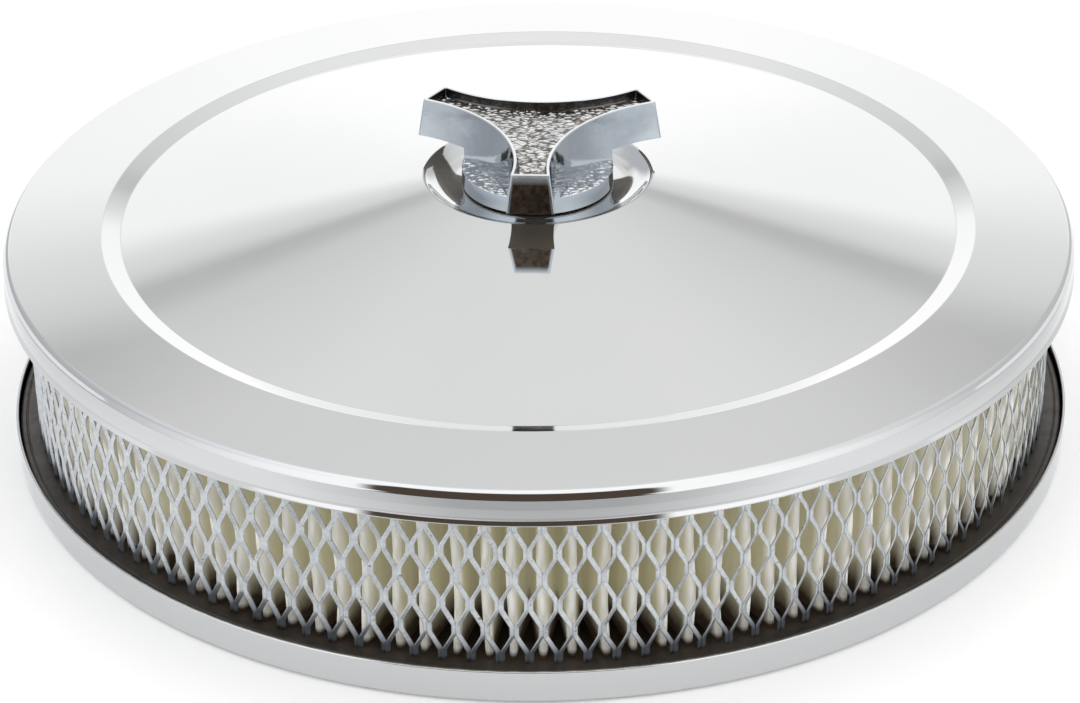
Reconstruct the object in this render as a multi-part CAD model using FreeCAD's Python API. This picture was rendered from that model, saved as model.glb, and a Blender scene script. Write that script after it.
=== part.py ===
import FreeCAD, Part
import math
import os

# Round air filter housing for a carburettor: a chromed pan, a paper element and a chromed lid
# held down by a three-armed nut on a centre stud.
# Frame: millimetres, +Z up along the axis of revolution, z = 0 where the pan rests.

INCH = 25.4

# Base pan, drawn from one sheet
PAN_SHEET = 0.7
PAN_RADIUS = 130.0
PAN_RIM_Z = 8.4
PAN_CORNER_BEND = 2.0
PAN_TROUGH_INNER = 103.5
PAN_SEAT_OUTER = 100.5
PAN_SEAT_Z = 3.2
PAN_STEP_BEND = 1.0
NECK_RADIUS = 65.5
NECK_TOP_Z = 13.0
NECK_BEND = 2.0

# Rubber ring under the pan, round the neck
GASKET_INNER = 67.5
GASKET_OUTER = 78.5

# Filter element: a pleated paper ring between two expanded-metal tubes, cast into two rubber end rings
SEAT_GAP = 0.05
SEAL_INNER = 104.4
SEAL_OUTER = 128.0
SEAL_HEIGHT = 6.1
SEAL_EDGE_ROUND = 1.8
ELEMENT_BASE_Z = PAN_SHEET + 0.1
ELEMENT_HEIGHT = 2.0 * INCH + 0.15
SCREEN_SHEET = 0.9
OUTER_SCREEN_RADIUS = 124.6
INNER_SCREEN_RADIUS = 106.4
SCREEN_EMBED = 3.4
PLEAT_COUNT = 120
PLEAT_TIP = 122.9
PLEAT_ROOT = 107.4
PAPER_WALL = 0.7
CLIP_WALL = 0.4
CLIP_FIT = 0.05
CLIP_LEG = 6.0
CLIP_HALF_WIDTH = 0.9
CLIP_END_GAP = 2.0

# Lid, drawn from one sheet: skirt, flat ring, stepped bevel, shallow cone, recess for the nut
LID_SHEET = 0.8
LID_RADIUS = 129.5
SKIRT_BASE_Z = 45.0
CREASE_Z = 50.7
CREASE_BEND = 1.0
LID_CORNER = 127.98
LID_CORNER_Z = 52.9
LID_CORNER_BEND = 1.6
BEVEL_OUTER = 105.5
BEVEL_OUTER_Z = 53.76
BEVEL_INNER = 101.05
BEVEL_INNER_Z = 52.86
BEVEL_BEND = 0.9
CREST_RADIUS = 27.4
CREST_Z = 63.2
CREST_BEND = 1.2
RECESS_FOOT = 23.6
RECESS_FLOOR_Z = 60.4
RECESS_BEND = 9.0
STUD_HOLE_RADIUS = 3.6

# Centre stud, 1/4 inch, threaded at both ends with a thinner shank between
STUD_RADIUS = INCH / 8.0
STUD_SHANK_RADIUS = 2.75
STUD_TOP_Z = 71.5
STUD_LENGTH = 2.25 * INCH
STUD_LOWER_THREAD = 0.5 * INCH
STUD_UPPER_THREAD = 1.0 * INCH
STUD_CHAMFER = 0.5

# Wing nut: a casting with three arms on a round hub, its top sunk inside a thin raised edge
ARM_COUNT = 3
ARM_AZIMUTH = -93.3
NUT_TOP_Z = 77.06
ARM_BASE_Z = 67.65
LEDGE_Z = 65.0
HUB_BASE_Z = 60.7
HUB_RADIUS = 18.3
HUB_WALL = 2.0
HUB_HOLLOW_Z = 63.6
ARM_TIP = 29.94
ARM_HALF_WIDTH = 4.63
ARM_WAIST = 10.74
ARM_DRAFT = 1.1 / (NUT_TOP_Z - ARM_BASE_Z)
EDGE_WALL = 0.8
SUNK_DEPTH = 2.3
SUNK_DRAFT = 0.4
BOSS_RADIUS = 8.0
WASHER_RADIUS = 7.6
WASHER_HOLE_RADIUS = 3.7
WASHER_HEIGHT = 1.6
INSERT_RADIUS = 4.8
INSERT_HEIGHT = 10.0
INSERT_HOLE_DEPTH = 10.6
THREAD_CLEARANCE = 0.05

PARTS_FOLDER = "parts"
AXIS = FreeCAD.Vector(0, 0, 1)
ORIGIN = FreeCAD.Vector(0, 0, 0)
MARGIN = 1.0


def section_point(radius, z):
    """Point of a section drawn in the XZ plane."""
    return FreeCAD.Vector(radius, 0, z)


def bent_wire(corners):
    """Wire through (radius, z, bend) corners; each corner with a bend is rounded by a tangent arc."""
    edges = []
    start = section_point(*corners[0][:2])
    for before, corner, after in zip(corners, corners[1:], corners[2:]):
        apex = section_point(*corner[:2])
        bend = corner[2]
        to_before = (section_point(*before[:2]) - apex).normalize()
        to_after = (section_point(*after[:2]) - apex).normalize()
        half_angle = to_before.getAngle(to_after) / 2.0
        setback = bend / math.tan(half_angle)
        inward = (to_before + to_after).normalize()
        arc_middle = apex + inward * (bend / math.sin(half_angle) - bend)
        arc_start = apex + to_before * setback
        arc_end = apex + to_after * setback
        edges.append(Part.LineSegment(start, arc_start).toShape())
        edges.append(Part.Arc(arc_start, arc_middle, arc_end).toShape())
        start = arc_end
    edges.append(Part.LineSegment(start, section_point(*corners[-1][:2])).toShape())
    return Part.Wire(edges)


def drawn_sheet(corners, thickness):
    """Sheet of constant thickness revolved about the axis, on one side of the line of corners."""
    section = bent_wire(corners).makeOffset2D(thickness, 0, True, True)
    return section.revolve(ORIGIN, AXIS, 360)


def disc(radius, low, high):
    """Solid round disc or rod on the axis, from one height to another."""
    return Part.makeCylinder(radius, high - low, FreeCAD.Vector(0, 0, low), AXIS)


def ring(inner, outer, low, high):
    """Flat-ended ring on the axis."""
    return disc(outer, low, high).cut(disc(inner, low - MARGIN, high + MARGIN))


def polar(radius, angle, z):
    return FreeCAD.Vector(radius * math.cos(angle), radius * math.sin(angle), z)


def base_pan():
    corners = [
        (PAN_RADIUS, PAN_RIM_Z, 0),
        (PAN_RADIUS, 0, PAN_CORNER_BEND),
        (PAN_TROUGH_INNER, 0, PAN_STEP_BEND),
        (PAN_SEAT_OUTER, PAN_SEAT_Z, PAN_STEP_BEND),
        (NECK_RADIUS, PAN_SEAT_Z, NECK_BEND),
        (NECK_RADIUS, NECK_TOP_Z, 0),
    ]
    return drawn_sheet(corners, -PAN_SHEET)


def neck_gasket():
    return ring(GASKET_INNER, GASKET_OUTER, 0, PAN_SEAT_Z)


def centre_stud():
    base_z = STUD_TOP_Z - STUD_LENGTH
    lower_thread_z = base_z + STUD_LOWER_THREAD
    upper_thread_z = STUD_TOP_Z - STUD_UPPER_THREAD
    end_radius = STUD_RADIUS - STUD_CHAMFER
    outline = [
        (0, base_z),
        (end_radius, base_z),
        (STUD_RADIUS, base_z + STUD_CHAMFER),
        (STUD_RADIUS, lower_thread_z),
        (STUD_SHANK_RADIUS, lower_thread_z),
        (STUD_SHANK_RADIUS, upper_thread_z),
        (STUD_RADIUS, upper_thread_z),
        (STUD_RADIUS, STUD_TOP_Z - STUD_CHAMFER),
        (end_radius, STUD_TOP_Z),
        (0, STUD_TOP_Z),
        (0, base_z),
    ]
    section = Part.Face(Part.makePolygon([section_point(*corner) for corner in outline]))
    return section.revolve(ORIGIN, AXIS, 360)


def screen(radius):
    """Expanded-metal tube, as a plain tube of the same size."""
    low = ELEMENT_BASE_Z + SEAL_HEIGHT - SCREEN_EMBED
    high = ELEMENT_BASE_Z + ELEMENT_HEIGHT - SEAL_HEIGHT + SCREEN_EMBED
    return ring(radius - SCREEN_SHEET, radius, low, high)


def is_outer_rim(edge):
    """Whether the edge is a full circle at the outside of an end ring."""
    is_circle = isinstance(edge.Curve, Part.Circle)
    return is_circle and math.isclose(edge.Curve.Radius, SEAL_OUTER)


def end_seal(low):
    """Rubber end ring with rounded outer edges, grooved for the two tubes that are cast into it."""
    blank = ring(SEAL_INNER, SEAL_OUTER, low, low + SEAL_HEIGHT)
    outer_edges = [edge for edge in blank.Edges if is_outer_rim(edge)]
    seal = blank.makeFillet(SEAL_EDGE_ROUND, outer_edges)
    return seal.cut(screen(OUTER_SCREEN_RADIUS)).cut(screen(INNER_SCREEN_RADIUS))


def lower_end_seal():
    return end_seal(ELEMENT_BASE_Z)


def upper_end_seal():
    return end_seal(ELEMENT_BASE_Z + ELEMENT_HEIGHT - SEAL_HEIGHT)


def zigzag_face(tip, root, z):
    """Star-shaped face with one point to each pleat."""
    corners = []
    for half_pleat in range(2 * PLEAT_COUNT + 1):
        radius = tip if half_pleat % 2 == 0 else root
        corners.append(polar(radius, math.pi * half_pleat / PLEAT_COUNT, z))
    return Part.Face(Part.makePolygon(corners))


def fold_depth():
    """Radial thickness of a fold, which is the paper cut through at a slant."""
    half_pitch = math.pi * (PLEAT_TIP + PLEAT_ROOT) / 2.0 / PLEAT_COUNT
    return PAPER_WALL / math.sin(math.atan2(half_pitch, PLEAT_TIP - PLEAT_ROOT))


def fold_slope():
    """Sideways run of the paper per millimetre outward, seen from a root fold."""
    inside_tip = polar(PLEAT_TIP - fold_depth(), math.pi / PLEAT_COUNT, 0)
    return inside_tip.y / (inside_tip.x - PLEAT_ROOT)


def pleated_media():
    low = ELEMENT_BASE_Z + SEAL_HEIGHT
    height = ELEMENT_HEIGHT - 2.0 * SEAL_HEIGHT
    outside = zigzag_face(PLEAT_TIP, PLEAT_ROOT + fold_depth(), low)
    inside = zigzag_face(PLEAT_TIP - fold_depth(), PLEAT_ROOT, low)
    return outside.cut(inside).extrude(AXIS * height)


def wedge(narrow_x, narrow_half, wide_x, low, high):
    """Prism that widens along +X as the two sides of a root fold do."""
    wide_half = narrow_half + (wide_x - narrow_x) * fold_slope()
    outline = [
        FreeCAD.Vector(narrow_x, narrow_half, low),
        FreeCAD.Vector(wide_x, wide_half, low),
        FreeCAD.Vector(wide_x, -wide_half, low),
        FreeCAD.Vector(narrow_x, -narrow_half, low),
    ]
    return Part.Face(Part.makePolygon(outline + outline[:1])).extrude(AXIS * (high - low))


def media_seam_clip():
    """Steel channel pinched over the two ends of the paper, round one root fold at the back."""
    low = ELEMENT_BASE_Z + SEAL_HEIGHT + CLIP_END_GAP
    high = ELEMENT_BASE_Z + ELEMENT_HEIGHT - SEAL_HEIGHT - CLIP_END_GAP
    leg_end = PLEAT_ROOT + CLIP_LEG
    channel = wedge(PLEAT_ROOT - CLIP_WALL, CLIP_HALF_WIDTH, leg_end, low, high)
    paper = wedge(PLEAT_ROOT, CLIP_FIT, leg_end + MARGIN, low - MARGIN, high + MARGIN)
    clip = channel.cut(paper)
    back_root = PLEAT_COUNT // 2 + 1
    clip.rotate(ORIGIN, AXIS, math.degrees(back_root * math.pi / PLEAT_COUNT))
    return clip


def lid_shell():
    corners = [
        (LID_RADIUS, SKIRT_BASE_Z, 0),
        (LID_RADIUS, CREASE_Z, CREASE_BEND),
        (LID_CORNER, LID_CORNER_Z, LID_CORNER_BEND),
        (BEVEL_OUTER, BEVEL_OUTER_Z, BEVEL_BEND),
        (BEVEL_INNER, BEVEL_INNER_Z, BEVEL_BEND),
        (CREST_RADIUS, CREST_Z, CREST_BEND),
        (RECESS_FOOT, RECESS_FLOOR_Z, RECESS_BEND),
        (STUD_HOLE_RADIUS, RECESS_FLOOR_Z, 0),
    ]
    return drawn_sheet(corners, LID_SHEET)


def arm_wire(inset, z):
    """Outline of the three arms: straight ends joined by hollow arcs, moved inward by the inset."""
    edges = []
    arm_angle = 2.0 * math.pi / ARM_COUNT
    for arm in range(ARM_COUNT):
        azimuth = math.radians(ARM_AZIMUTH) + arm * arm_angle
        next_azimuth = azimuth + arm_angle
        end_start = arm_corner(azimuth, -1, inset, z)
        end_finish = arm_corner(azimuth, 1, inset, z)
        waist = polar(ARM_WAIST - inset, azimuth + arm_angle / 2.0, z)
        next_start = arm_corner(next_azimuth, -1, inset, z)
        edges.append(Part.LineSegment(end_start, end_finish).toShape())
        edges.append(Part.Arc(end_finish, waist, next_start).toShape())
    return Part.Wire(edges)


def arm_corner(azimuth, side, inset, z):
    outward = polar(ARM_TIP - inset, azimuth, z)
    return outward + polar(ARM_HALF_WIDTH - inset, azimuth + side * math.pi / 2.0, 0)


def nut_arms():
    """Three arms widening downward by the casting draft, cut away below the arms outside the hub."""
    foot_inset = -ARM_DRAFT * (NUT_TOP_Z - LEDGE_Z)
    arms = Part.makeLoft([arm_wire(foot_inset, LEDGE_Z), arm_wire(0, NUT_TOP_Z)], True, True)
    undercut = ring(HUB_RADIUS, ARM_TIP + HUB_RADIUS, LEDGE_Z - MARGIN, ARM_BASE_Z)
    return arms.cut(undercut)


def nut_sunk_top():
    """Space cut out of the top, leaving a thin raised edge all round."""
    floor_z = NUT_TOP_Z - SUNK_DEPTH
    mouth_z = NUT_TOP_Z + SUNK_DEPTH
    mouth_inset = EDGE_WALL - SUNK_DRAFT
    return Part.makeLoft([arm_wire(EDGE_WALL + SUNK_DRAFT, floor_z), arm_wire(mouth_inset, mouth_z)], True, True)


def washer_base_z():
    return RECESS_FLOOR_Z + SEAT_GAP


def boss_base_z():
    return washer_base_z() + WASHER_HEIGHT + SEAT_GAP


def nut_hub():
    """Round hub, hollow underneath round a central boss."""
    hub = disc(HUB_RADIUS, HUB_BASE_Z, LEDGE_Z)
    hollow = ring(BOSS_RADIUS, HUB_RADIUS - HUB_WALL, HUB_BASE_Z - MARGIN, HUB_HOLLOW_Z)
    boss_recess = disc(HUB_RADIUS - HUB_WALL, HUB_BASE_Z - MARGIN, boss_base_z())
    return hub.cut(hollow).cut(boss_recess)


def wing_nut_body():
    body = nut_arms().fuse(nut_hub()).removeSplitter()
    insert_hole = disc(INSERT_RADIUS, boss_base_z() - MARGIN, boss_base_z() + INSERT_HOLE_DEPTH)
    return body.cut(nut_sunk_top()).cut(insert_hole)


def wing_nut_insert():
    return ring(STUD_RADIUS + THREAD_CLEARANCE, INSERT_RADIUS, boss_base_z(), boss_base_z() + INSERT_HEIGHT)


def wing_nut_washer():
    return ring(WASHER_HOLE_RADIUS, WASHER_RADIUS, washer_base_z(), washer_base_z() + WASHER_HEIGHT)


def outer_screen():
    return screen(OUTER_SCREEN_RADIUS)


def inner_screen():
    return screen(INNER_SCREEN_RADIUS)


SUB_PARTS = [
    base_pan,
    neck_gasket,
    centre_stud,
    lower_end_seal,
    upper_end_seal,
    outer_screen,
    inner_screen,
    pleated_media,
    media_seam_clip,
    lid_shell,
    wing_nut_washer,
    wing_nut_insert,
    wing_nut_body,
]

os.makedirs(PARTS_FOLDER, exist_ok=True)
for make in SUB_PARTS:
    shape = make()
    shape.exportStep(f"{PARTS_FOLDER}/{make.__name__}.step")
    print(make.__name__, shape.isValid(), len(shape.Solids), round(shape.Volume, 1))
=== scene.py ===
import math

import bmesh
import bpy
import numpy as np
from mathutils import Matrix, Vector, geometry, noise


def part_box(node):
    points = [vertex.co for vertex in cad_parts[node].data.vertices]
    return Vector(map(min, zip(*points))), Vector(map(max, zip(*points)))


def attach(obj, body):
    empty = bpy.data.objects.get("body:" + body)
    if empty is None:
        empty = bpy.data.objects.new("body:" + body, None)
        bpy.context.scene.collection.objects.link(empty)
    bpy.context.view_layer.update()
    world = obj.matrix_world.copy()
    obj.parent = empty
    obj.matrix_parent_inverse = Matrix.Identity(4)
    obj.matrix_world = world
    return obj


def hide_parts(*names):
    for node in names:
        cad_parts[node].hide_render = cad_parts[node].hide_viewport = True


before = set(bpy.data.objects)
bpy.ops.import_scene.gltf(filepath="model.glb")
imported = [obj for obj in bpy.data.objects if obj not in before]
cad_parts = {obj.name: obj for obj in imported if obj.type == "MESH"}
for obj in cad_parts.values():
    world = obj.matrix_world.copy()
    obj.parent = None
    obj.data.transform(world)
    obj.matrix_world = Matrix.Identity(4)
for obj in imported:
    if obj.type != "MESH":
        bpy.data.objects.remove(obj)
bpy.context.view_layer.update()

MM = 0.001
TURN = 2.0 * math.pi
ROUND_STEPS = 384

# ---------------------------------------------------------------- sizes in mm, from the frame

def box_mm(node):
    low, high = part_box(node)
    return low / MM, high / MM


PAN_LOW, PAN_HIGH = box_mm("base_pan")
LID_LOW, LID_HIGH = box_mm("lid_shell")
SEAL_LOW, SEAL_HIGH = box_mm("lower_end_seal")
TOP_SEAL_LOW, TOP_SEAL_HIGH = box_mm("upper_end_seal")
SCREEN_LOW, SCREEN_HIGH = box_mm("outer_screen")
INNER_SCREEN_LOW, INNER_SCREEN_HIGH = box_mm("inner_screen")
PAPER_LOW, PAPER_HIGH = box_mm("pleated_media")
CLIP_LOW, CLIP_HIGH = box_mm("media_seam_clip")
STUD_LOW, STUD_HIGH = box_mm("centre_stud")
NUT_LOW, NUT_HIGH = box_mm("wing_nut_body")
INSERT_LOW, INSERT_HIGH = box_mm("wing_nut_insert")
WASHER_LOW, WASHER_HIGH = box_mm("wing_nut_washer")
GASKET_LOW, GASKET_HIGH = box_mm("neck_gasket")

# Sheet lines of the pan and the lid
PAN_SHEET = 0.7
PAN_RIM_Z = 8.4
PAN_TROUGH_INNER = 103.5
PAN_SEAT_OUTER = 100.5
PAN_SEAT_Z = GASKET_HIGH.z
NECK_RADIUS = 65.5
LID_SHEET = 0.8
CREASE_Z = 51.15
LID_CORNER = (128.20, 52.9)
BEVEL_OUTER = (105.5, 53.76)
BEVEL_INNER = (101.05, 52.44)
CREST = (27.4, 63.2)
RECESS_FOOT = 23.6
RECESS_FLOOR_Z = WASHER_LOW.z - 0.05
STUD_HOLE_RADIUS = 3.6
GASKET_INNER = 67.5
WASHER_INNER = 3.7

# Filter element
SEAL_INNER = 104.4
SEAL_OUTER = PAN_HIGH.x - 1.0
ROW_RISE = 6.68
LOWEST_BOND_Z = SEAL_HIGH.z + 1.3
SCREEN_NODES = 124
SCREEN_INSET = 0.5
STRAND_WIDTH = 1.22
STRAND_THICKNESS = 0.42
PLEAT_COUNT = 120
PLEAT_ROOT = 107.4
PAPER_WALL = 0.62
TIP_BEND = 0.55
ROOT_BEND = 0.60
CLIP_SHEET = 0.45
CLIP_AZIMUTH = TURN * (PLEAT_COUNT // 2 + 1) / (2 * PLEAT_COUNT)

# Threads
THREAD_PITCH = 1.27
THREAD_DEPTH = 0.68
UPPER_THREAD = 25.4
LOWER_THREAD = 12.7
SHANK_RADIUS = 2.75
INSERT_BORE = 3.225

# Wing nut
ARM_COUNT = 3
ARM_AZIMUTH = math.radians(-93.3)
ARM_TIP = 29.94
ARM_HALF_WIDTH = 4.63
ARM_WAIST = 10.74
ARM_BASE_Z = 67.65
LEDGE_Z = 65.0
ARM_DRAFT = 1.1 / (NUT_HIGH.z - ARM_BASE_Z)
HUB_RADIUS = 18.3
HUB_HOLLOW_RADIUS = 16.3
HUB_HOLLOW_Z = 63.6
BOSS_RADIUS = 8.0
BOSS_BASE_Z = INSERT_LOW.z
INSERT_HOLE_TOP = BOSS_BASE_Z + 10.6
EDGE_WALL = 0.8
SUNK_DRAFT = 0.4
SUNK_FLOOR_Z = NUT_HIGH.z - 2.3
PEBBLE_PITCH = (2.3, 1.25)
PEBBLE_HEIGHT = 0.36

# Without a seed, noise_vector takes one from the clock and the grain differs from run to run
noise.seed_set(7)


# ---------------------------------------------------------------- mesh helpers

def linked(name, mesh, body):
    """Object of a mesh drawn in millimetres, smooth but for its sharp edges, riding on a body."""
    work = bmesh.new()
    work.from_mesh(mesh)
    bmesh.ops.remove_doubles(work, verts=work.verts, dist=1e-4)
    bmesh.ops.recalc_face_normals(work, faces=work.faces)
    bmesh.ops.scale(work, vec=(MM, MM, MM), verts=work.verts)
    work.to_mesh(mesh)
    work.free()
    mesh.shade_smooth()
    mesh.set_sharp_from_angle(angle=math.radians(50))
    made = bpy.data.objects.new(name, mesh)
    bpy.context.scene.collection.objects.link(made)
    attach(made, body)
    return made


def grid_faces(rows, columns, close_rows, close_columns, start=0):
    """Quads of a grid of vertices, closed on itself in either direction when asked."""
    index = np.arange(rows * columns).reshape(rows, columns) + start
    lower = index if close_rows else index[:-1]
    upper = np.roll(index, -1, axis=0) if close_rows else index[1:]
    if close_columns:
        corners = (lower, np.roll(lower, -1, axis=1), np.roll(upper, -1, axis=1), upper)
    else:
        corners = (lower[:, :-1], lower[:, 1:], upper[:, 1:], upper[:, :-1])
    return np.stack(corners, axis=-1).reshape(-1, 4)


def end_caps(rows, columns):
    """Faces that close the first and the last row of a grid of vertices."""
    return [list(range(columns))[::-1], list(range((rows - 1) * columns, rows * columns))]


class Patches:
    """Gathers grids and other groups of faces that share their edges into one mesh."""

    def __init__(self):
        self.points, self.faces, self.tarnish, self.count = [], [], [], 0

    def add(self, points, faces, tarnish=0.0):
        """Darkening, 0 to 1, for the whole group or for each of its points: a dark finish in some
        places, painted shade in others.
        """
        points = np.asarray(points, float).reshape(-1, 3)
        self.points.append(points)
        self.tarnish.append(np.broadcast_to(np.ravel(tarnish), len(points)))
        self.faces += [[corner + self.count for corner in face] for face in faces]
        self.count += len(points)

    def grid(self, points, close_rows=False, close_columns=False, tarnish=0.0):
        """Points are rows x columns x 3."""
        faces = grid_faces(points.shape[0], points.shape[1], close_rows, close_columns)
        self.add(points, faces.tolist(), tarnish)

    def mesh(self, name):
        mesh = bpy.data.meshes.new(name)
        mesh.from_pydata(np.concatenate(self.points).tolist(), [], self.faces)
        tarnish = np.concatenate(self.tarnish)
        if tarnish.any():
            mesh.attributes.new("tarnish", "FLOAT", "POINT").data.foreach_set("value", tarnish)
        return mesh


def unit(vector):
    return vector / np.linalg.norm(vector)


def around(radius, angle, z):
    """Points at a radius, angle and height, whose shapes are made to match."""
    radius, angle, z = np.broadcast_arrays(radius, angle, z)
    return np.stack([radius * np.cos(angle), radius * np.sin(angle), z], axis=-1)


def run_points(start, end, longest):
    """Points inside a straight run, with one close to each end so that its shading stays flat."""
    length = np.linalg.norm(end - start)
    near = min(0.12, length / 4.0)
    inner = max(1, math.ceil((length - 2.0 * near) / longest))
    stops = [(near + (length - 2.0 * near) * i / inner) / length for i in range(inner + 1)]
    return [start + (end - start) * stop for stop in stops]


def bent_section(corners, closed=True, longest=6.0):
    """Points of a section through (radius, z, bend) corners, each rounded by its bend radius."""
    corners = [np.array(corner, float) for corner in corners]
    count = len(corners)
    arcs = []
    for i, corner in enumerate(corners):
        if not closed and i in (0, count - 1):
            arcs.append([corner[:2]])
            continue
        apex, bend = corner[:2], corner[2]
        before = unit(corners[i - 1][:2] - apex)
        after = unit(corners[(i + 1) % count][:2] - apex)
        half_angle = math.acos(np.clip(before @ after, -1.0, 1.0)) / 2.0
        centre = apex + unit(before + after) * bend / math.sin(half_angle)
        setback = bend / math.tan(half_angle)
        first = apex + before * setback - centre
        last = apex + after * setback - centre
        steps = max(3, math.ceil((math.pi - 2.0 * half_angle) / math.radians(7)))
        first_angle = math.atan2(first[1], first[0])
        turn = math.atan2(first[0] * last[1] - first[1] * last[0], first @ last)
        angles = [first_angle + turn * step / steps for step in range(steps + 1)]
        arcs.append([centre + bend * np.array([math.cos(a), math.sin(a)]) for a in angles])
    points = []
    for i, arc in enumerate(arcs):
        points.extend(arc)
        if closed or i < count - 1:
            points.extend(run_points(arc[-1], arcs[(i + 1) % count][0], longest))
    return np.array(points)


def sheet_corners(corners, thickness, edge_bend, least_bend=0.2):
    """Closed section of a sheet: the given corners, and the same line moved to its left side."""
    line = [np.array(corner[:2], float) for corner in corners]
    bends = [corner[2] for corner in corners]
    moved, moved_bends = [], []
    for i, here in enumerate(line):
        into = unit(here - line[i - 1]) if i > 0 else unit(line[1] - here)
        out = unit(line[i + 1] - here) if i < len(line) - 1 else into
        normal = unit(np.array([-into[1] - out[1], into[0] + out[0]]))
        share = normal @ np.array([-into[1], into[0]])
        moved.append(here + normal * thickness / share)
        turn = into[0] * out[1] - into[1] * out[0]
        moved_bends.append(max(least_bend, bends[i] + (-thickness if turn > 0 else thickness)))
    outside = [(*point, bend) for point, bend in zip(line, bends)]
    inside = [(*point, bend) for point, bend in zip(moved, moved_bends)]
    ends = [(*point, edge_bend) for point in (line[0], line[-1], moved[-1], moved[0])]
    return [ends[0]] + outside[1:-1] + ends[1:3] + inside[-2:0:-1] + ends[3:]


def lathe(name, section, body, rise=None):
    """Closed section of (radius, z) points turned about the axis; rise adds height at a place."""
    angles = np.arange(ROUND_STEPS) * TURN / ROUND_STEPS
    points = around(section[:, :1], angles, section[:, 1:])
    if rise:
        points[..., 2] += rise(section[:, :1], angles, section[:, 1:])
    patches = Patches()
    patches.grid(points, True, True)
    return linked(name, patches.mesh(name), body)


# ---------------------------------------------------------------- material helpers

class Graph:
    """Short calls for building a tree of shader nodes."""

    def __init__(self, tree):
        self.tree = tree

    def add(self, kind, **values):
        node = self.tree.nodes.new(kind)
        for key, value in values.items():
            setattr(node, key, value)
        return node

    def link(self, output, socket):
        self.tree.links.new(output, socket)

    def parts(self, vector):
        """The x, y and z of a vector."""
        node = self.add("ShaderNodeSeparateXYZ")
        self.link(vector, node.inputs["Vector"])
        return node.outputs

    def calculate(self, operation, first, second=0.0):
        node = self.add("ShaderNodeMath", operation=operation)
        for socket, value in zip(node.inputs, (first, second)):
            if isinstance(value, (int, float)):
                socket.default_value = value
            else:
                self.link(value, socket)
        return node.outputs["Value"]

    def times(self, first, second):
        return self.calculate("MULTIPLY", first, second)

    def span(self, source, low, high, from_low=0.0, from_high=1.0, easing="LINEAR"):
        """The source mapped onto a range of values."""
        node = self.add("ShaderNodeMapRange", interpolation_type=easing)
        limits = {"From Min": from_low, "From Max": from_high, "To Min": low, "To Max": high}
        for key, value in limits.items():
            node.inputs[key].default_value = value
        self.link(source, node.inputs["Value"])
        return node.outputs["Result"]

    def ramp(self, source, stops):
        """Colour ramp; stops are (position, colour)."""
        node = self.add("ShaderNodeValToRGB")
        ramp = node.color_ramp
        while len(ramp.elements) < len(stops):
            ramp.elements.new(0.5)
        for element, (position, colour) in zip(ramp.elements, stops):
            element.position = position
            element.color = (*colour, 1.0)
        self.link(source, node.inputs["Fac"])
        return node.outputs["Color"]

    def mix(self, factor, first, second):
        node = self.add("ShaderNodeMix", data_type="RGBA")
        self.link(factor, node.inputs["Factor"])
        for key, value in (("A", first), ("B", second)):
            socket = [s for s in node.inputs if s.name == key and s.type == "RGBA"][0]
            if isinstance(value, tuple):
                socket.default_value = (*value, 1.0)
            else:
                self.link(value, socket)
        return [s for s in node.outputs if s.type == "RGBA"][0]


class Nodes(Graph):
    """One material and its nodes."""

    def __init__(self, name):
        self.material = bpy.data.materials.new(name)
        self.material.use_nodes = True
        super().__init__(self.material.node_tree)
        self.shader = self.tree.nodes["Principled BSDF"]
        self.place = self.add("ShaderNodeTexCoord").outputs["Object"]

    def set(self, **values):
        """Fixed values on the shader's own sockets."""
        for key, value in values.items():
            self.shader.inputs[key.replace("_", " ")].default_value = value

    def noise(self, scale, detail=3.0, roughness=0.5, stretch=(1, 1, 1)):
        """Noise in object space; scale is in features to the metre."""
        mapping = self.add("ShaderNodeMapping")
        mapping.inputs["Scale"].default_value = stretch
        self.link(self.place, mapping.inputs["Vector"])
        node = self.add("ShaderNodeTexNoise")
        node.inputs["Scale"].default_value = scale
        node.inputs["Detail"].default_value = detail
        node.inputs["Roughness"].default_value = roughness
        self.link(mapping.outputs["Vector"], node.inputs["Vector"])
        return node.outputs["Fac"]

    def height(self):
        """Height above the plane that the pan rests on, in millimetres."""
        return self.calculate("DIVIDE", self.parts(self.place)["Z"], MM)

    def radius(self):
        """Distance from the axis, in millimetres."""
        flat = self.add("ShaderNodeVectorMath", operation="MULTIPLY")
        flat.inputs[1].default_value = (1 / MM, 1 / MM, 0.0)
        self.link(self.place, flat.inputs[0])
        length = self.add("ShaderNodeVectorMath", operation="LENGTH")
        self.link(flat.outputs["Vector"], length.inputs[0])
        return length.outputs["Value"]

    def attribute(self, name):
        return self.add("ShaderNodeAttribute", attribute_name=name).outputs["Fac"]

    def colour(self, output):
        self.link(output, self.shader.inputs["Base Color"])

    def glow(self, output):
        self.link(output, self.shader.inputs["Emission Color"])

    def roughness(self, output):
        self.link(output, self.shader.inputs["Roughness"])

    def bump(self, height, depth):
        """Bump whose full height is the depth, in metres."""
        node = self.add("ShaderNodeBump")
        node.inputs["Strength"].default_value = 1.0
        node.inputs["Distance"].default_value = depth
        self.link(height, node.inputs["Height"])
        self.link(node.outputs["Normal"], self.shader.inputs["Normal"])


def chrome():
    """Bright plate: faint haze and finger marks in the gloss, and a very fine ripple."""
    n = Nodes("chrome_plate")
    n.set(Metallic=1.0)
    n.colour(n.ramp(n.noise(9.0), [(0.3, (0.600, 0.612, 0.622)), (0.7, (0.625, 0.635, 0.640))]))
    n.roughness(n.span(n.noise(55.0, 5.0, 0.6), 0.025, 0.075, 0.3, 0.75))
    n.bump(n.noise(38.0, 2.0), 0.00001)
    return n.material


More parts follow.
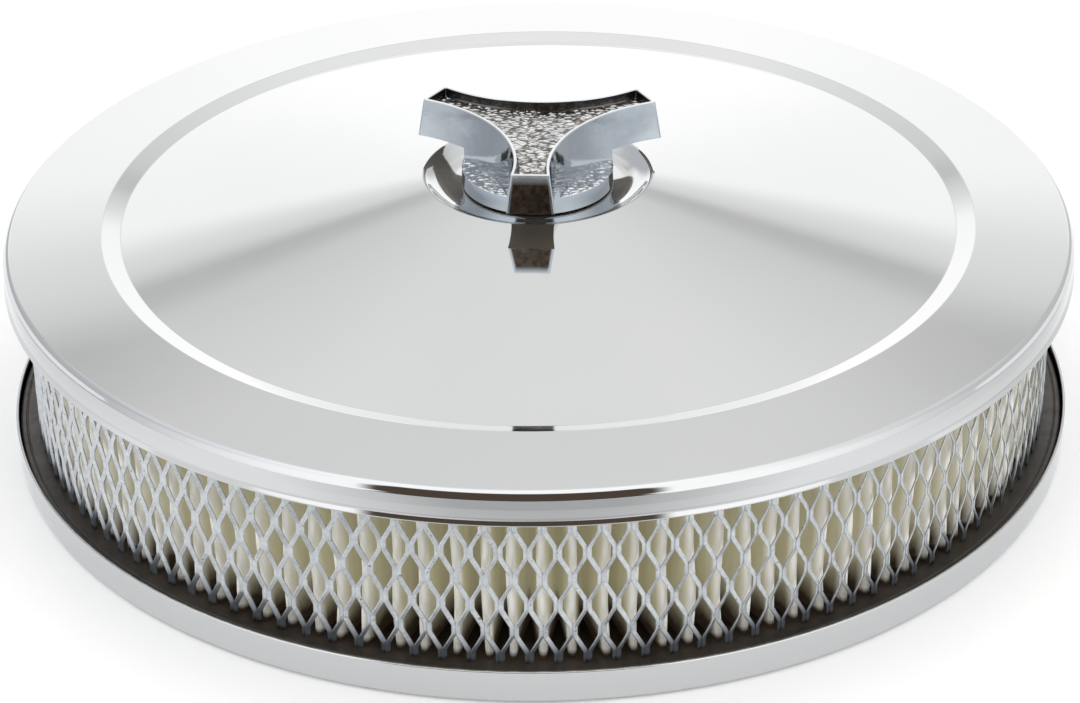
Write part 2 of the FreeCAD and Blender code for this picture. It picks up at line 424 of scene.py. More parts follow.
def cast_chrome():
    """Plate over a casting: bright on top, bluer and darker on walls, a painted shade by facing;
    dark on the arm ends and in the recess, and painted shade in the grain's hollows and under the
    arms; brown non-metal facing down, a painted reflection.
    """
    n = Nodes("cast_chrome_plate")
    grain = n.noise(90.0)
    wall = n.ramp(grain, [(0.3, (0.430, 0.480, 0.530)), (0.7, (0.520, 0.560, 0.600))])
    top = n.ramp(grain, [(0.3, (0.610, 0.625, 0.640)), (0.7, (0.680, 0.690, 0.700))])
    # Painted shade: walls that face sideways get a darker, bluer plate colour than faces that look
    # up.
    facing_up = n.parts(n.add("ShaderNodeNewGeometry").outputs["Normal"])["Z"]
    plate = n.mix(n.span(facing_up, 0.0, 1.0, 0.3, 0.8), wall, top)
    # Dark colour: a dark finish on the arm ends and recess walls, painted shade in the grain's
    # hollows and under the arms.
    dark_finish_and_shade_colour = n.ramp(n.noise(700.0, 5.0, 0.7),
                  [(0.35, (0.030, 0.021, 0.014)), (0.7, (0.115, 0.088, 0.066))])
    # Painted reflection: faces that look down become a brown non-metal in place of the reflected
    # light.
    painted_reflection_below = n.span(facing_up, 1.0, 0.0, -0.9, -0.6)
    tarnish = n.attribute("tarnish")
    n.colour(n.mix(painted_reflection_below, n.mix(tarnish, plate, dark_finish_and_shade_colour), (0.300, 0.250, 0.190)))
    n.link(n.calculate("SUBTRACT", 1.0, painted_reflection_below), n.shader.inputs["Metallic"])
    gloss = n.span(n.noise(400.0, 4.0, 0.6), 0.05, 0.12, 0.3, 0.75)
    n.roughness(n.calculate("ADD", gloss, n.times(tarnish, 0.22)))
    n.bump(n.noise(260.0, 3.0), 0.00002)
    return n.material


def zinc_screen():
    """Zinc-plated strands: satin and specked, with painted shade along their edges, a painted
    reflection that makes them bluer and darker low down, and brown where they sink into the rubber.
    """
    n = Nodes("zinc_screen")
    n.set(Metallic=0.75)
    face = n.ramp(n.noise(900.0, 4.0, 0.7), [(0.3, (0.50, 0.53, 0.56)), (0.65, (0.70, 0.73, 0.76))])
    # Painted shade along the strands' edges.
    painted_edge_shade = n.span(n.attribute("tarnish"), 0.0, 0.60, 0.35, 1.0)
    grain = n.mix(painted_edge_shade, face, (0.17, 0.18, 0.20))
    specks = n.span(n.noise(1300.0, 2.0, 0.5), 0.0, 1.0, 0.66, 0.74)
    plate = n.mix(specks, grain, (0.20, 0.19, 0.18))
    # Painted reflection of the dark rubber: bluer and darker low down; the brown foot is the
    # rubber's coating on the strands.
    uneven = n.calculate("ADD", n.height(), n.span(n.noise(120.0, 3.0), -1.2, 1.2))
    painted_low_reflection = n.span(uneven, 0.85, 0.0, SEAL_HIGH.z + 2.5, SEAL_HIGH.z + 7.0)
    foot = n.span(uneven, 1.0, 0.0, SEAL_HIGH.z, SEAL_HIGH.z + 1.0)
    n.colour(n.mix(foot, n.mix(painted_low_reflection, plate, (0.20, 0.23, 0.27)), (0.060, 0.048, 0.040)))
    n.roughness(n.span(n.noise(1500.0, 3.0), 0.30, 0.50))
    n.bump(n.noise(2200.0, 3.0, 0.6), 0.00004)
    return n.material


def filter_paper():
    """Resin-treated paper: ivory at the tips and tan on the sides, a painted shade that darkens
    towards the valleys; darker brown low in the valleys, also painted shade, and dark sealant at
    the very foot.

    A weak glow stands for the light that comes through the thin paper."""
    n = Nodes("filter_paper")
    n.set(Specular_IOR_Level=0.30, Emission_Strength=0.11)
    stains = n.noise(160.0, 4.0, 0.6, (1.0, 1.0, 0.15))
    tips = n.ramp(stains, [(0.25, (0.86, 0.84, 0.76)), (0.70, (0.93, 0.92, 0.87))])
    sides = n.ramp(stains, [(0.25, (0.58, 0.54, 0.38)), (0.55, (0.68, 0.65, 0.49)),
                            (0.8, (0.76, 0.74, 0.60))])
    # Painted shade: 1 deep in the valleys, 0 at the tips.
    depth = n.span(n.radius(), 1.0, 0.0, PAPER_HIGH.x - 3.2, PAPER_HIGH.x - 0.9)
    paper_with_painted_valley_shade = n.mix(depth, tips, sides)
    # Painted shade low in the valleys, with a ragged edge; below it, dark sealant at the very foot.
    uneven = n.calculate("ADD", n.height(), n.span(n.noise(140.0, 3.0, 0.6), -3.0, 3.0))
    painted_bottom_shade = n.span(uneven, 1.0, 0.0, SEAL_HIGH.z + 2.0, SEAL_HIGH.z + 9.0)
    foot = n.span(n.height(), 1.0, 0.0, SEAL_HIGH.z + 0.4, SEAL_HIGH.z + 1.8)
    shade_and_sealant = n.calculate("MAXIMUM", n.times(painted_bottom_shade, depth), foot)
    colour = n.mix(shade_and_sealant, paper_with_painted_valley_shade, (0.075, 0.052, 0.034))
    n.colour(colour)
    n.glow(colour)
    n.roughness(n.span(n.noise(700.0, 3.0), 0.50, 0.72))
    n.bump(n.noise(1800.0, 6.0, 0.7), 0.00012)
    return n.material


def rubber(name, dark, light, low, high, grain):
    """Moulded rubber: dark, with a soft uneven sheen and a fine grain."""
    n = Nodes(name)
    n.set(Specular_IOR_Level=0.5)
    n.colour(n.ramp(n.noise(120.0, 4.0, 0.6), [(0.3, dark), (0.75, light)]))
    n.roughness(n.span(n.noise(300.0, 4.0, 0.6), low, high, 0.3, 0.7))
    n.bump(n.noise(grain, 4.0, 0.6), 0.00008)
    return n.material


def plated_steel(name, dark, light, low, high):
    """Machined and plated metal, with streaks that run round the axis."""
    n = Nodes(name)
    n.set(Metallic=1.0)
    n.colour(n.ramp(n.noise(500.0, 3.0, 0.6, (1.0, 1.0, 4.0)), [(0.3, dark), (0.7, light)]))
    n.roughness(n.span(n.noise(900.0, 4.0, 0.6), low, high, 0.3, 0.7))
    n.bump(n.noise(1600.0, 3.0), 0.00002)
    return n.material


CHROME = chrome()
CAST_CHROME = cast_chrome()
ZINC = zinc_screen()
PAPER = filter_paper()
END_RUBBER = rubber("end_ring_rubber", (0.014, 0.010, 0.007), (0.046, 0.034, 0.026),
                    0.28, 0.50, 900.0)
BLACK_RUBBER = rubber("gasket_rubber", (0.012, 0.012, 0.012), (0.030, 0.030, 0.031),
                      0.55, 0.80, 1400.0)
STUD_STEEL = plated_steel("stud_steel", (0.50, 0.50, 0.47), (0.66, 0.65, 0.60), 0.22, 0.38)
BRASS = plated_steel("insert_brass", (0.62, 0.48, 0.24), (0.76, 0.61, 0.33), 0.20, 0.34)
TINPLATE = plated_steel("clip_tinplate", (0.48, 0.49, 0.50), (0.62, 0.63, 0.64), 0.28, 0.42)


def dress(piece, material, slot, *nodes):
    """Gives a piece its material and hides the CAD nodes that it stands for; the slot is not used.
    """
    piece.data.materials.append(material)
    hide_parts(*nodes)
    return piece


# ---------------------------------------------------------------- base pan and lid

def base_pan():
    """Drawn pan: low wall with a rounded edge, flat trough, raised seat and turned-up neck."""
    corners = [
        (PAN_HIGH.x, PAN_RIM_Z, 0),
        (PAN_HIGH.x, PAN_LOW.z + 3.1, 0.3),
        (PAN_HIGH.x - 0.10, PAN_LOW.z + 2.8, 0.3),
        (PAN_HIGH.x - 0.10, PAN_LOW.z, 1.7),
        (PAN_TROUGH_INNER, PAN_LOW.z, 1.0),
        (PAN_SEAT_OUTER, PAN_SEAT_Z, 1.0),
        (NECK_RADIUS, PAN_SEAT_Z, 2.0),
        (NECK_RADIUS, PAN_HIGH.z, 0),
    ]
    section = bent_section(sheet_corners(corners, -PAN_SHEET, 0.28))
    return dress(lathe("pan_sheet", section, "base"), CHROME, "chrome", "base_pan")


def lid_waviness(radius, angle, z):
    """Very slight spring of the drawn lid, strongest at its edge."""
    lobes = np.sin(3 * angle + 0.7) + 0.6 * np.sin(5 * angle + 2.1) + 0.4 * np.sin(8 * angle + 4.0)
    return 0.02 * lobes * (radius / LID_HIGH.x) ** 2


def lid():
    """Drawn lid: flared skirt, crease, leaning corner, flat ring, bevel, cone and nut recess."""
    outer, skirt_low = LID_HIGH.x, LID_LOW.z
    corners = [
        (outer - 0.02, skirt_low, 0),
        (outer - 0.50, skirt_low + 1.45, 1.8),
        (outer - 0.44, skirt_low + 3.9, 6.0),
        (outer - 0.46, CREASE_Z - 0.05, 0.40),
        (outer - 0.64, CREASE_Z + 0.20, 0.12),
        (*LID_CORNER, 1.3),
        (*BEVEL_OUTER, 0.9),
        (*BEVEL_INNER, 0.9),
        (*CREST, 1.2),
        (RECESS_FOOT, RECESS_FLOOR_Z, 9.0),
        (STUD_HOLE_RADIUS, RECESS_FLOOR_Z, 0),
    ]
    section = bent_section(sheet_corners(corners, LID_SHEET, 0.25))
    return dress(lathe("lid_sheet", section, "lid", lid_waviness), CHROME, "chrome", "lid_shell")


# ---------------------------------------------------------------- rubber rings

def grooves(radii, z, half_width, depth):
    """Corners of shallow grooves in a flat face, at rising or falling radii."""
    side = half_width if radii[-1] > radii[0] else -half_width
    corners = []
    for radius in radii:
        corners += [(radius - side, z, 0.15), (radius - 0.6 * side, z + depth, 0.15)]
        corners += [(radius + 0.6 * side, z + depth, 0.15), (radius + side, z, 0.15)]
    return corners


def cast_unevenness(radius, angle, z):
    """Slight rise and fall of a poured rubber face, between the inner and the outer edge."""
    waves = np.sin(23 * angle + radius) + np.sin(41 * angle - 0.7 * radius)
    waves = waves + np.sin(67 * angle + 2.0)
    inside = np.clip((SEAL_OUTER - 2.1 - radius) / 2.0, 0.0, 1.0)
    middle = np.clip((z - SEAL_LOW.z - 3.0) / 2.0, 0.0, 1.0)
    return 0.03 * waves * inside * middle


def lower_seal():
    """End ring of dark rubber, with two shallow sealing grooves on the face that meets the pan."""
    face = grooves([110.0, 120.0], SEAL_LOW.z, 1.2, 0.5)
    corners = [(SEAL_INNER, SEAL_LOW.z, 0.6), *face, (SEAL_OUTER, SEAL_LOW.z, 1.8)]
    corners += [(SEAL_OUTER, SEAL_HIGH.z, 0.7), (SEAL_OUTER - 1.3, SEAL_HIGH.z, 0.15)]
    corners += [(SEAL_OUTER - 1.6, SEAL_HIGH.z - 0.25, 0.2), (SEAL_OUTER - 1.9, SEAL_HIGH.z, 0.15)]
    corners += [(SEAL_INNER, SEAL_HIGH.z, 0.6)]
    ring = lathe("lower_rubber_ring", bent_section(corners), "element", cast_unevenness)
    return dress(ring, END_RUBBER, "end_rubber", "lower_end_seal")


def upper_seal():
    """End ring of dark rubber, with two shallow sealing grooves on the face that meets the lid."""
    face = grooves([120.0, 110.0], TOP_SEAL_HIGH.z, 1.2, -0.5)
    corners = [(SEAL_INNER, TOP_SEAL_LOW.z, 0.6), (TOP_SEAL_HIGH.x, TOP_SEAL_LOW.z, 1.8)]
    corners += [(TOP_SEAL_HIGH.x, TOP_SEAL_HIGH.z, 1.8), *face, (SEAL_INNER, TOP_SEAL_HIGH.z, 0.6)]
    ring = lathe("upper_rubber_ring", bent_section(corners), "element")
    return dress(ring, END_RUBBER, "end_rubber", "upper_end_seal")


def gasket():
    """Flat rubber ring round the neck, grooved where it meets the carburettor."""
    inner, outer = GASKET_INNER, GASKET_HIGH.x
    face = grooves([inner + 3.5, outer - 3.5], GASKET_LOW.z, 1.0, 0.6)
    corners = [(inner, GASKET_LOW.z, 0.4), *face, (outer, GASKET_LOW.z, 0.4)]
    corners += [(outer, GASKET_HIGH.z, 0.4), (inner, GASKET_HIGH.z, 0.4)]
    ring = lathe("neck_rubber_ring", bent_section(corners), "base")
    return dress(ring, BLACK_RUBBER, "gasket_rubber", "neck_gasket")


def washer():
    """Rubber sealing washer between the nut and the lid."""
    corners = [(WASHER_INNER, WASHER_LOW.z, 0.2), (WASHER_HIGH.x, WASHER_LOW.z, 0.35)]
    corners += [(WASHER_HIGH.x, WASHER_HIGH.z, 0.35), (WASHER_INNER, WASHER_HIGH.z, 0.2)]
    ring = lathe("nut_rubber_washer", bent_section(corners), "nut_washer")
    return dress(ring, BLACK_RUBBER, "gasket_rubber", "wing_nut_washer")


# ---------------------------------------------------------------- expanded-metal screens

def strand_shift(share):
    """Sideways place of a strand between two bonds, 0 to 1: upright at a bond, straight between."""
    bond, bend = 0.12, 0.12
    slope = 1.0 / (1.0 - 2.0 * bond - bend)
    along = np.clip(share - bond, 0.0, 1.0 - 2.0 * bond)
    low = np.minimum(along, bend)
    high = np.clip(along - (1.0 - 2.0 * bond - bend), 0.0, bend)
    middle = along - low - high
    return slope * (low ** 2 / (2.0 * bend) + middle + high - high ** 2 / (2.0 * bend))


def screen(name, node, low, high, centre_radius, nodes):
    """Expanded metal: strands that zigzag upward, each joined to its two neighbours in turn."""
    stops = np.array([0.0, 0.12, 0.17, 0.235, 0.5, 0.765, 0.83, 0.88])
    rows_below = math.ceil((LOWEST_BOND_Z - low) / ROW_RISE)
    rows_above = math.ceil((high - LOWEST_BOND_Z) / ROW_RISE)
    levels = (np.arange(-rows_below, rows_above)[:, None] + stops).ravel()
    heights = LOWEST_BOND_Z + levels * ROW_RISE
    levels = levels[(heights > low + 0.1) & (heights < high)]
    heights = LOWEST_BOND_Z + levels * ROW_RISE
    half_pitch = math.pi * centre_radius / nodes
    bond_offset = 0.34 * STRAND_WIDTH
    row, share = np.floor(levels).astype(int), levels % 1.0
    strands = np.arange(2 * nodes)[:, None]
    leaning_right = (strands + row) % 2 == 1
    place = np.where(leaning_right, strand_shift(share), 1.0 - strand_shift(share))
    shift = bond_offset + place * (half_pitch - 2.0 * bond_offset)
    sideways = np.gradient(shift, axis=1) / np.gradient(heights)
    angle = (strands * half_pitch + shift) / centre_radius
    tilt = np.radians(20.0 + 15.0 * np.sin(math.pi * share) ** 2)
    half_width = STRAND_WIDTH / 2.0
    half_thickness = STRAND_THICKNESS / 2.0
    flat = half_width - 0.16
    outline = [(half_width, 0), (flat, half_thickness), (-flat, half_thickness)]
    outline += [(-half_width, 0), (-flat, -half_thickness), (flat, -half_thickness)]
    level = 1.0 / np.hypot(1.0, sideways)
    points = []
    for across, out in outline:
        width = across * np.cos(tilt) + out * np.sin(tilt)
        radius = centre_radius - across * np.sin(tilt) + out * np.cos(tilt)
        points.append(around(radius, angle + width * level / centre_radius,
                             heights - width * level * sideways))
    points = np.stack(points, axis=2)
    count, rows, columns = points.shape[:3]
    faces = grid_faces(rows, columns, False, True).tolist() + end_caps(rows, columns)
    patches = Patches()
    # Painted shade along each strand's edges, away from the bonds.
    from_bond = np.minimum(share, 1.0 - share)
    on_edge = np.abs([across for across, _ in outline]) > flat
    painted_edge_shade = np.clip((from_bond[:, None] - 0.10) / 0.1, 0.0, 1.0) * on_edge
    for strand in range(count):
        patches.add(points[strand], faces, painted_edge_shade)
    mesh_object = linked(name, patches.mesh(name), "element")
    return dress(mesh_object, ZINC, "zinc_screen", node)


def screens():
    """Both screens, with diamonds of the same width."""
    outer = SCREEN_HIGH.x - SCREEN_INSET
    inner = INNER_SCREEN_HIGH.x - SCREEN_INSET
    nodes = round(SCREEN_NODES * inner / outer)
    screen("outer_diamond_screen", "outer_screen", SCREEN_LOW.z, SCREEN_HIGH.z,
           outer, SCREEN_NODES)
    screen("inner_diamond_screen", "inner_screen", INNER_SCREEN_LOW.z, INNER_SCREEN_HIGH.z,
           inner, nodes)


# ---------------------------------------------------------------- pleated paper and its clip

class Pleats:
    """Places of the folds: angle and radius of each tip and root, as even steps with some drift."""

    def __init__(self):
        draw = np.random.default_rng(11)
        folds = 2 * PLEAT_COUNT
        self.even = np.arange(folds) * TURN / folds
        away = np.abs((self.even - CLIP_AZIMUTH + math.pi) % TURN - math.pi)
        self.loose = np.clip((away - 0.06) / 0.08, 0.0, 1.0)
        pitch = TURN / PLEAT_COUNT
        self.angle = self.even + self.loose * draw.uniform(-0.13, 0.13, folds) * pitch
        self.is_tip = np.arange(folds) % 2 == 0
        reach = np.where(self.is_tip, PAPER_HIGH.x - 0.45, PLEAT_ROOT)
        self.reach = reach + self.loose * draw.uniform(-0.35, 0.35, folds) * self.is_tip
        self.phase = draw.uniform(0.0, TURN, (3, folds))
        self.lean = draw.uniform(-0.4, 0.4, folds) * self.loose

    def centre_line(self, z):
        """Middle of the paper at a height: round folds joined by nearly straight sides."""
        share = (z - PAPER_LOW.z) / (PAPER_HIGH.z - PAPER_LOW.z)
        sway = 0.30 * np.sin(1.1 * TURN * share + self.phase[0]) + self.lean * (share - 0.5)
        sway = self.loose * sway / self.reach
        depth = self.loose * 0.22 * np.sin(1.7 * TURN * share + self.phase[1])
        bend = np.where(self.is_tip, TIP_BEND, ROOT_BEND)
        bend = bend * (1.0 + self.loose * 0.14 * np.sin(TURN * share + self.phase[2]))
        side = np.where(self.is_tip, 1.0, -1.0)
        centre = self.reach + depth * self.is_tip - side * (bend + PAPER_WALL / 2.0)
        sweep = np.radians([-90, -60, -30, 0, 30, 60, 90])
        radius = centre[:, None] + (side * bend)[:, None] * np.cos(sweep)
        angle = (self.angle + sway)[:, None] + bend[:, None] * np.sin(sweep) / radius
        fold = around(radius, angle, z)
        following = np.roll(fold[:, 0], -1, axis=0)
        steps = np.array([0.25, 0.5, 0.75])[:, None]
        bow = 0.16 * np.sin(math.pi * steps) * np.sin(0.9 * TURN * share + self.phase[2])
        away = np.stack([-np.sin(self.even), np.cos(self.even), 0 * self.even], axis=-1)
        sides = fold[:, -1][:, None] + (following - fold[:, -1])[:, None] * steps
        sides = sides + (bow * self.loose).T[..., None] * away[:, None]
        return np.concatenate([fold, sides], axis=1)


def paper():
    """The pleated paper, as one closed band of even thickness."""
    pleats = Pleats()
    heights = np.linspace(PAPER_LOW.z - 0.3, PAPER_HIGH.z + 0.3, 15)
    outside, inside = [], []
    for z in heights:
        line = pleats.centre_line(z).reshape(-1, 3)
        along = np.roll(line, -1, axis=0) - np.roll(line, 1, axis=0)
        normal = np.stack([along[:, 1], -along[:, 0], 0 * along[:, 0]], axis=-1)
        normal *= PAPER_WALL / 2.0 / np.linalg.norm(normal, axis=1)[:, None]
        outside.append(line + normal)
        inside.append(line - normal)
    patches = Patches()
    patches.grid(np.array(outside + inside[::-1]), True, True)
    band = linked("filter_paper_pleats", patches.mesh("filter_paper_pleats"), "element")
    return dress(band, PAPER, "paper", "pleated_media")


def seam_clip():
    """Tinned strip folded over the root where the two ends of the paper meet."""
    index = PLEAT_COUNT // 2 + 1
    line = Pleats().centre_line(CLIP_LOW.z)[index - 1:index + 1, :, :2].reshape(-1, 2)[8:18]
    along = np.gradient(line, axis=0)
    outward = np.stack([-along[:, 1], along[:, 0]], axis=-1)
    outward /= np.linalg.norm(outward, axis=1)[:, None]
    near = line + outward * (PAPER_WALL / 2.0 + 0.02)
    far = line + outward * (PAPER_WALL / 2.0 + CLIP_SHEET)
    section = np.concatenate([near, far[::-1]])
    levels = np.linspace(CLIP_LOW.z, CLIP_HIGH.z, 9)[:, None]
    points = [np.column_stack([section, np.full(len(section), level)]) for level in levels.ravel()]
    patches = Patches()
    patches.grid(np.array(points), False, True)
    patches.faces += end_caps(len(points), len(section))
    clip = linked("folded_seam_strip", patches.mesh("folded_seam_strip"), "element")
    return dress(clip, TINPLATE, "clip_steel", "media_seam_clip")


# ---------------------------------------------------------------- stud and threaded insert

def thread(angle, z):
    """Height of a thread's flank, 0 at the root to 1 at the crest, with small flats."""
    phase = (z / THREAD_PITCH - angle / TURN) % 1.0
    return np.clip(1.3 * (1.0 - np.abs(2.0 * phase - 1.0)) - 0.12, 0.0, 1.0)


def thread_levels(low, high):
    """Column of heights for a threaded piece, ten to a turn, with one close to each end."""
    between = np.arange(low + 0.08, high - 0.08, THREAD_PITCH / 10.0)
    return np.concatenate([[low], between, [high]])[:, None]


def stud():
    """Stud with a helical thread at each end and a thinner plain shank between."""
    crest = STUD_HIGH.x
    steps = 48
    low, high = STUD_LOW.z, STUD_HIGH.z
    heights = thread_levels(low, high)
    angles = np.arange(steps) * TURN / steps
    lower_end, upper_start = low + LOWER_THREAD, high - UPPER_THREAD
    fade_low = np.clip((lower_end - heights) / THREAD_PITCH, 0.0, 1.0)
    fade_high = np.clip((heights - upper_start) / THREAD_PITCH, 0.0, 1.0)
    threaded = np.maximum(fade_low, fade_high)
    root = crest - THREAD_DEPTH
    base = SHANK_RADIUS + (root - SHANK_RADIUS) * threaded
    radius = base + (crest - root) * thread(angles, heights) * threaded
    chamfer = np.minimum(heights - low, high - heights)
    radius = np.minimum(radius, crest - 0.65 + chamfer)
    patches = Patches()
    patches.grid(around(radius, angles, heights), False, True)
    patches.faces += end_caps(len(heights), steps)
    return dress(linked("threaded_stud", patches.mesh("threaded_stud"), "base"),
                 STUD_STEEL, "stud_steel", "centre_stud")


def insert():
    """Threaded brass bush pressed into the nut, with bevelled ends."""
    steps = 64
    low, high = INSERT_LOW.z, INSERT_HIGH.z
    angles = np.arange(steps) * TURN / steps
    heights = thread_levels(low, high)
    bevel = np.clip(0.5 - np.minimum(heights - low, high - heights), 0.0, 0.5)
    bore = INSERT_BORE + np.maximum(0.9 * THREAD_DEPTH * (1.0 - thread(angles, heights)), bevel)
    outer = INSERT_HIGH.x
    outside = np.array([(outer - 0.3, high), (outer, high - 0.3),
                        (outer, low + 0.3), (outer - 0.3, low)])
    wall = around(outside[:, :1], angles, outside[:, 1:])
    patches = Patches()
    patches.grid(np.concatenate([around(bore, angles, heights), wall]), True, True)
    return dress(linked("threaded_bush", patches.mesh("threaded_bush"), "wing_nut"),
                 BRASS, "insert_steel", "wing_nut_insert")


# ---------------------------------------------------------------- wing nut

END_STEPS = 20
CORNER_STEPS = 6
ARM_STEPS = 26
GAP_STEPS = 96
CORNER_ROUND = 0.45


class ArmOutline:
    """Outline of one third of the arms, moved inward by an inset, in the frame of its arm."""

    def __init__(self, inset):
        tip, half = ARM_TIP - inset, ARM_HALF_WIDTH - inset
        centre, radius, sweep = hollow_circle(inset)
        reach = (centre ** 2 + radius ** 2 - HUB_RADIUS ** 2) / (2.0 * centre * radius)
        crossing = math.acos(reach)
        last = sweep - CORNER_ROUND / radius
        side = np.linspace(last, crossing, ARM_STEPS + 1)
        gap = np.linspace(-crossing, crossing, GAP_STEPS + 1)
        angles = np.concatenate([-side, gap[1:-1], side[::-1]])
        self.arc = self.hollow(angles, centre, radius)
        corner = np.array([tip, half])
        bends = np.linspace(0.0, 1.0, CORNER_STEPS + 1)[:, None]
        before = corner - np.array([0.0, CORNER_ROUND])
        rounded = (1 - bends) ** 2 * before + 2 * bends * (1 - bends) * corner
        self.corner = (rounded + bends ** 2 * self.arc[0])[:-1]
        across = np.linspace(-1.0, 1.0, END_STEPS + 1)[:, None]
        self.end = np.array([tip, 0.0]) + across * np.array([0.0, half - CORNER_ROUND])

    @staticmethod
    def hollow(angles, centre, radius):
        """Points of the arc between this arm and the next."""
        slant = math.pi / ARM_COUNT
        x = centre - radius * np.cos(angles)
        y = radius * np.sin(angles)
        return np.stack([x * math.cos(slant) - y * math.sin(slant),
                         x * math.sin(slant) + y * math.cos(slant)], axis=-1)

    def loop(self, z):
        """All three arms as one closed row of points at a height."""
        mirrored = self.corner[1:][::-1] * np.array([1.0, -1.0])
        third = np.concatenate([mirrored, self.end, self.corner[1:], self.arc])
        return np.concatenate([turned(third, arm, z) for arm in range(ARM_COUNT)])

    def underside(self):
        """Grid of one arm from the hub's circle out to its end."""
        side = np.concatenate([self.arc[:ARM_STEPS + 1][::-1], self.corner[::-1]])
        across = np.linspace(-1.0, 1.0, END_STEPS + 1)
        outward = np.repeat(side[:, :1], END_STEPS + 1, axis=1)
        rows = np.stack([outward, side[:, 1:] * across], axis=-1)
        sweep = math.atan2(side[0, 1], side[0, 0]) * across
        circle = HUB_RADIUS * np.stack([np.cos(sweep), np.sin(sweep)], axis=-1)
        fade = np.clip(1.0 - np.arange(len(side)) / (ARM_STEPS - 2), 0.0, 1.0)[:, None, None]
        return rows + (circle - rows[0]) * fade

    def gap(self):
        """The hollow between this arm and the next, where it lies inside the hub's circle."""
        return self.arc[ARM_STEPS:ARM_STEPS + GAP_STEPS + 1]


def turned(points, arm, z):
    """Plan points of one arm placed at that arm's azimuth and at a height."""
    azimuth = ARM_AZIMUTH + arm * TURN / ARM_COUNT
    x, y = points[..., 0], points[..., 1]
    placed_x = x * math.cos(azimuth) - y * math.sin(azimuth)
    placed_y = x * math.sin(azimuth) + y * math.cos(azimuth)
    return np.stack([placed_x, placed_y, np.broadcast_to(z, placed_x.shape)], axis=-1)


def wall_inset(z):
    """Inset of the drafted side wall at a height; it is negative, so the arms widen downward."""
    return -ARM_DRAFT * (NUT_HIGH.z - z)


def pebbles(points, strength):
    """Adds the cast grain's height to the points; gives them with how deep each lies, 0 to 1."""
    deep = np.zeros(points.shape[:-1])
    wide, tall = PEBBLE_PITCH
    flat, shares = points.reshape(-1, 3), np.broadcast_to(strength, deep.shape).ravel()
    for i, (point, share) in enumerate(zip(flat, shares)):
        place = Vector((point[0] / wide, point[1] / tall, 0.0))
        distances, _ = noise.voronoi(place + 0.35 * noise.noise_vector(1.7 * place))
        crease = min(1.0, 1.9 * (distances[1] - distances[0]))
        rise = crease * (2.0 - crease) * (0.8 + 0.2 * noise.noise(2.0 * place))
        point[2] += share * PEBBLE_HEIGHT * rise
        deep.flat[i] = share * min(1.0, max(0.0, 1.15 - 2.2 * crease))
    return points, deep


def end_face(rows):
    """1 on the flat ends of the arms, fading to 0 at their rounded upright edges."""
    nearest = np.full(rows.shape[:-1], np.inf)
    reach = np.zeros(rows.shape[:-1])
    for arm in range(ARM_COUNT):
        azimuth = ARM_AZIMUTH + arm * TURN / ARM_COUNT
        along = rows[..., 0] * math.cos(azimuth) + rows[..., 1] * math.sin(azimuth)
        aside = np.abs(rows[..., 1] * math.cos(azimuth) - rows[..., 0] * math.sin(azimuth))
        on_arm = along > reach
        reach, nearest = np.where(on_arm, along, reach), np.where(on_arm, aside, nearest)
    low = wall_inset(rows[..., 2])
    on_end = reach > ARM_TIP - low - 0.05
    return on_end * np.clip((ARM_HALF_WIDTH - low - CORNER_ROUND - 0.1 - nearest) / 0.25, 0.0, 1.0)


def sunk_floor(patches, edge):
    """Pebbled floor inside the raised edge, meshed from the edge and an even field of points."""
    spacing = 0.30
    reach = int(ARM_TIP / spacing) + 2
    steps = np.arange(-reach, reach + 1)
    field = [(column * spacing + (row % 2) * spacing / 2.0, row * spacing * math.sqrt(0.75))
             for row in steps for column in steps]
    outline = [Vector(point[:2]) for point in edge]
    inner = [Vector(point) for point in field if inside_arms(point, EDGE_WALL + SUNK_DRAFT + 0.22)]
    count = len(outline)
    ring = [(i, (i + 1) % count) for i in range(count)]
    flat, _, faces, *_ = geometry.delaunay_2d_cdt(outline + inner, ring, [], 1, 1e-5)
    points = np.array([(*point, SUNK_FLOOR_Z) for point in flat])
    is_inner = np.arange(len(points)) >= count
    points, deep = pebbles(points, is_inner * 1.0)
    # Painted shade in the grain's hollows; the floor's edge takes the recess's dark finish.
    patches.add(points, faces, np.where(is_inner, deep, 1.0))


def inside_arms(point, inset):
    """Whether a plan point lies inside the arms by at least the inset."""
    distance = math.hypot(*point)
    if distance > ARM_TIP:
        return False
    slant = math.pi / ARM_COUNT
    bearing = (math.atan2(point[1], point[0]) - ARM_AZIMUTH) % (2.0 * slant)
    to_arm = min(bearing, 2.0 * slant - bearing)
    along, aside = distance * math.cos(to_arm), distance * math.sin(to_arm)
    if along > ARM_TIP - inset:
        return False
    centre, radius, _ = hollow_circle(0.0)
    from_gap = slant - to_arm
    x, y = distance * math.cos(from_gap), distance * math.sin(from_gap)
    in_width = aside < ARM_HALF_WIDTH - inset or distance < ARM_TIP * 0.8
    return in_width and math.hypot(x - centre, y) > radius + inset


def hollow_circle(inset):
    """Hollow arc between two arms: its centre's distance from the axis, radius and half sweep."""
    slant = math.pi / ARM_COUNT
    tip, half, waist = ARM_TIP - inset, ARM_HALF_WIDTH - inset, ARM_WAIST - inset
    corner_x = tip * math.cos(slant) + half * math.sin(slant)
    corner_y = -tip * math.sin(slant) + half * math.cos(slant)
    centre = (corner_x ** 2 + corner_y ** 2 - waist ** 2) / (2.0 * (corner_x - waist))
    radius = centre - waist
    return centre, radius, math.asin(-corner_y / radius)


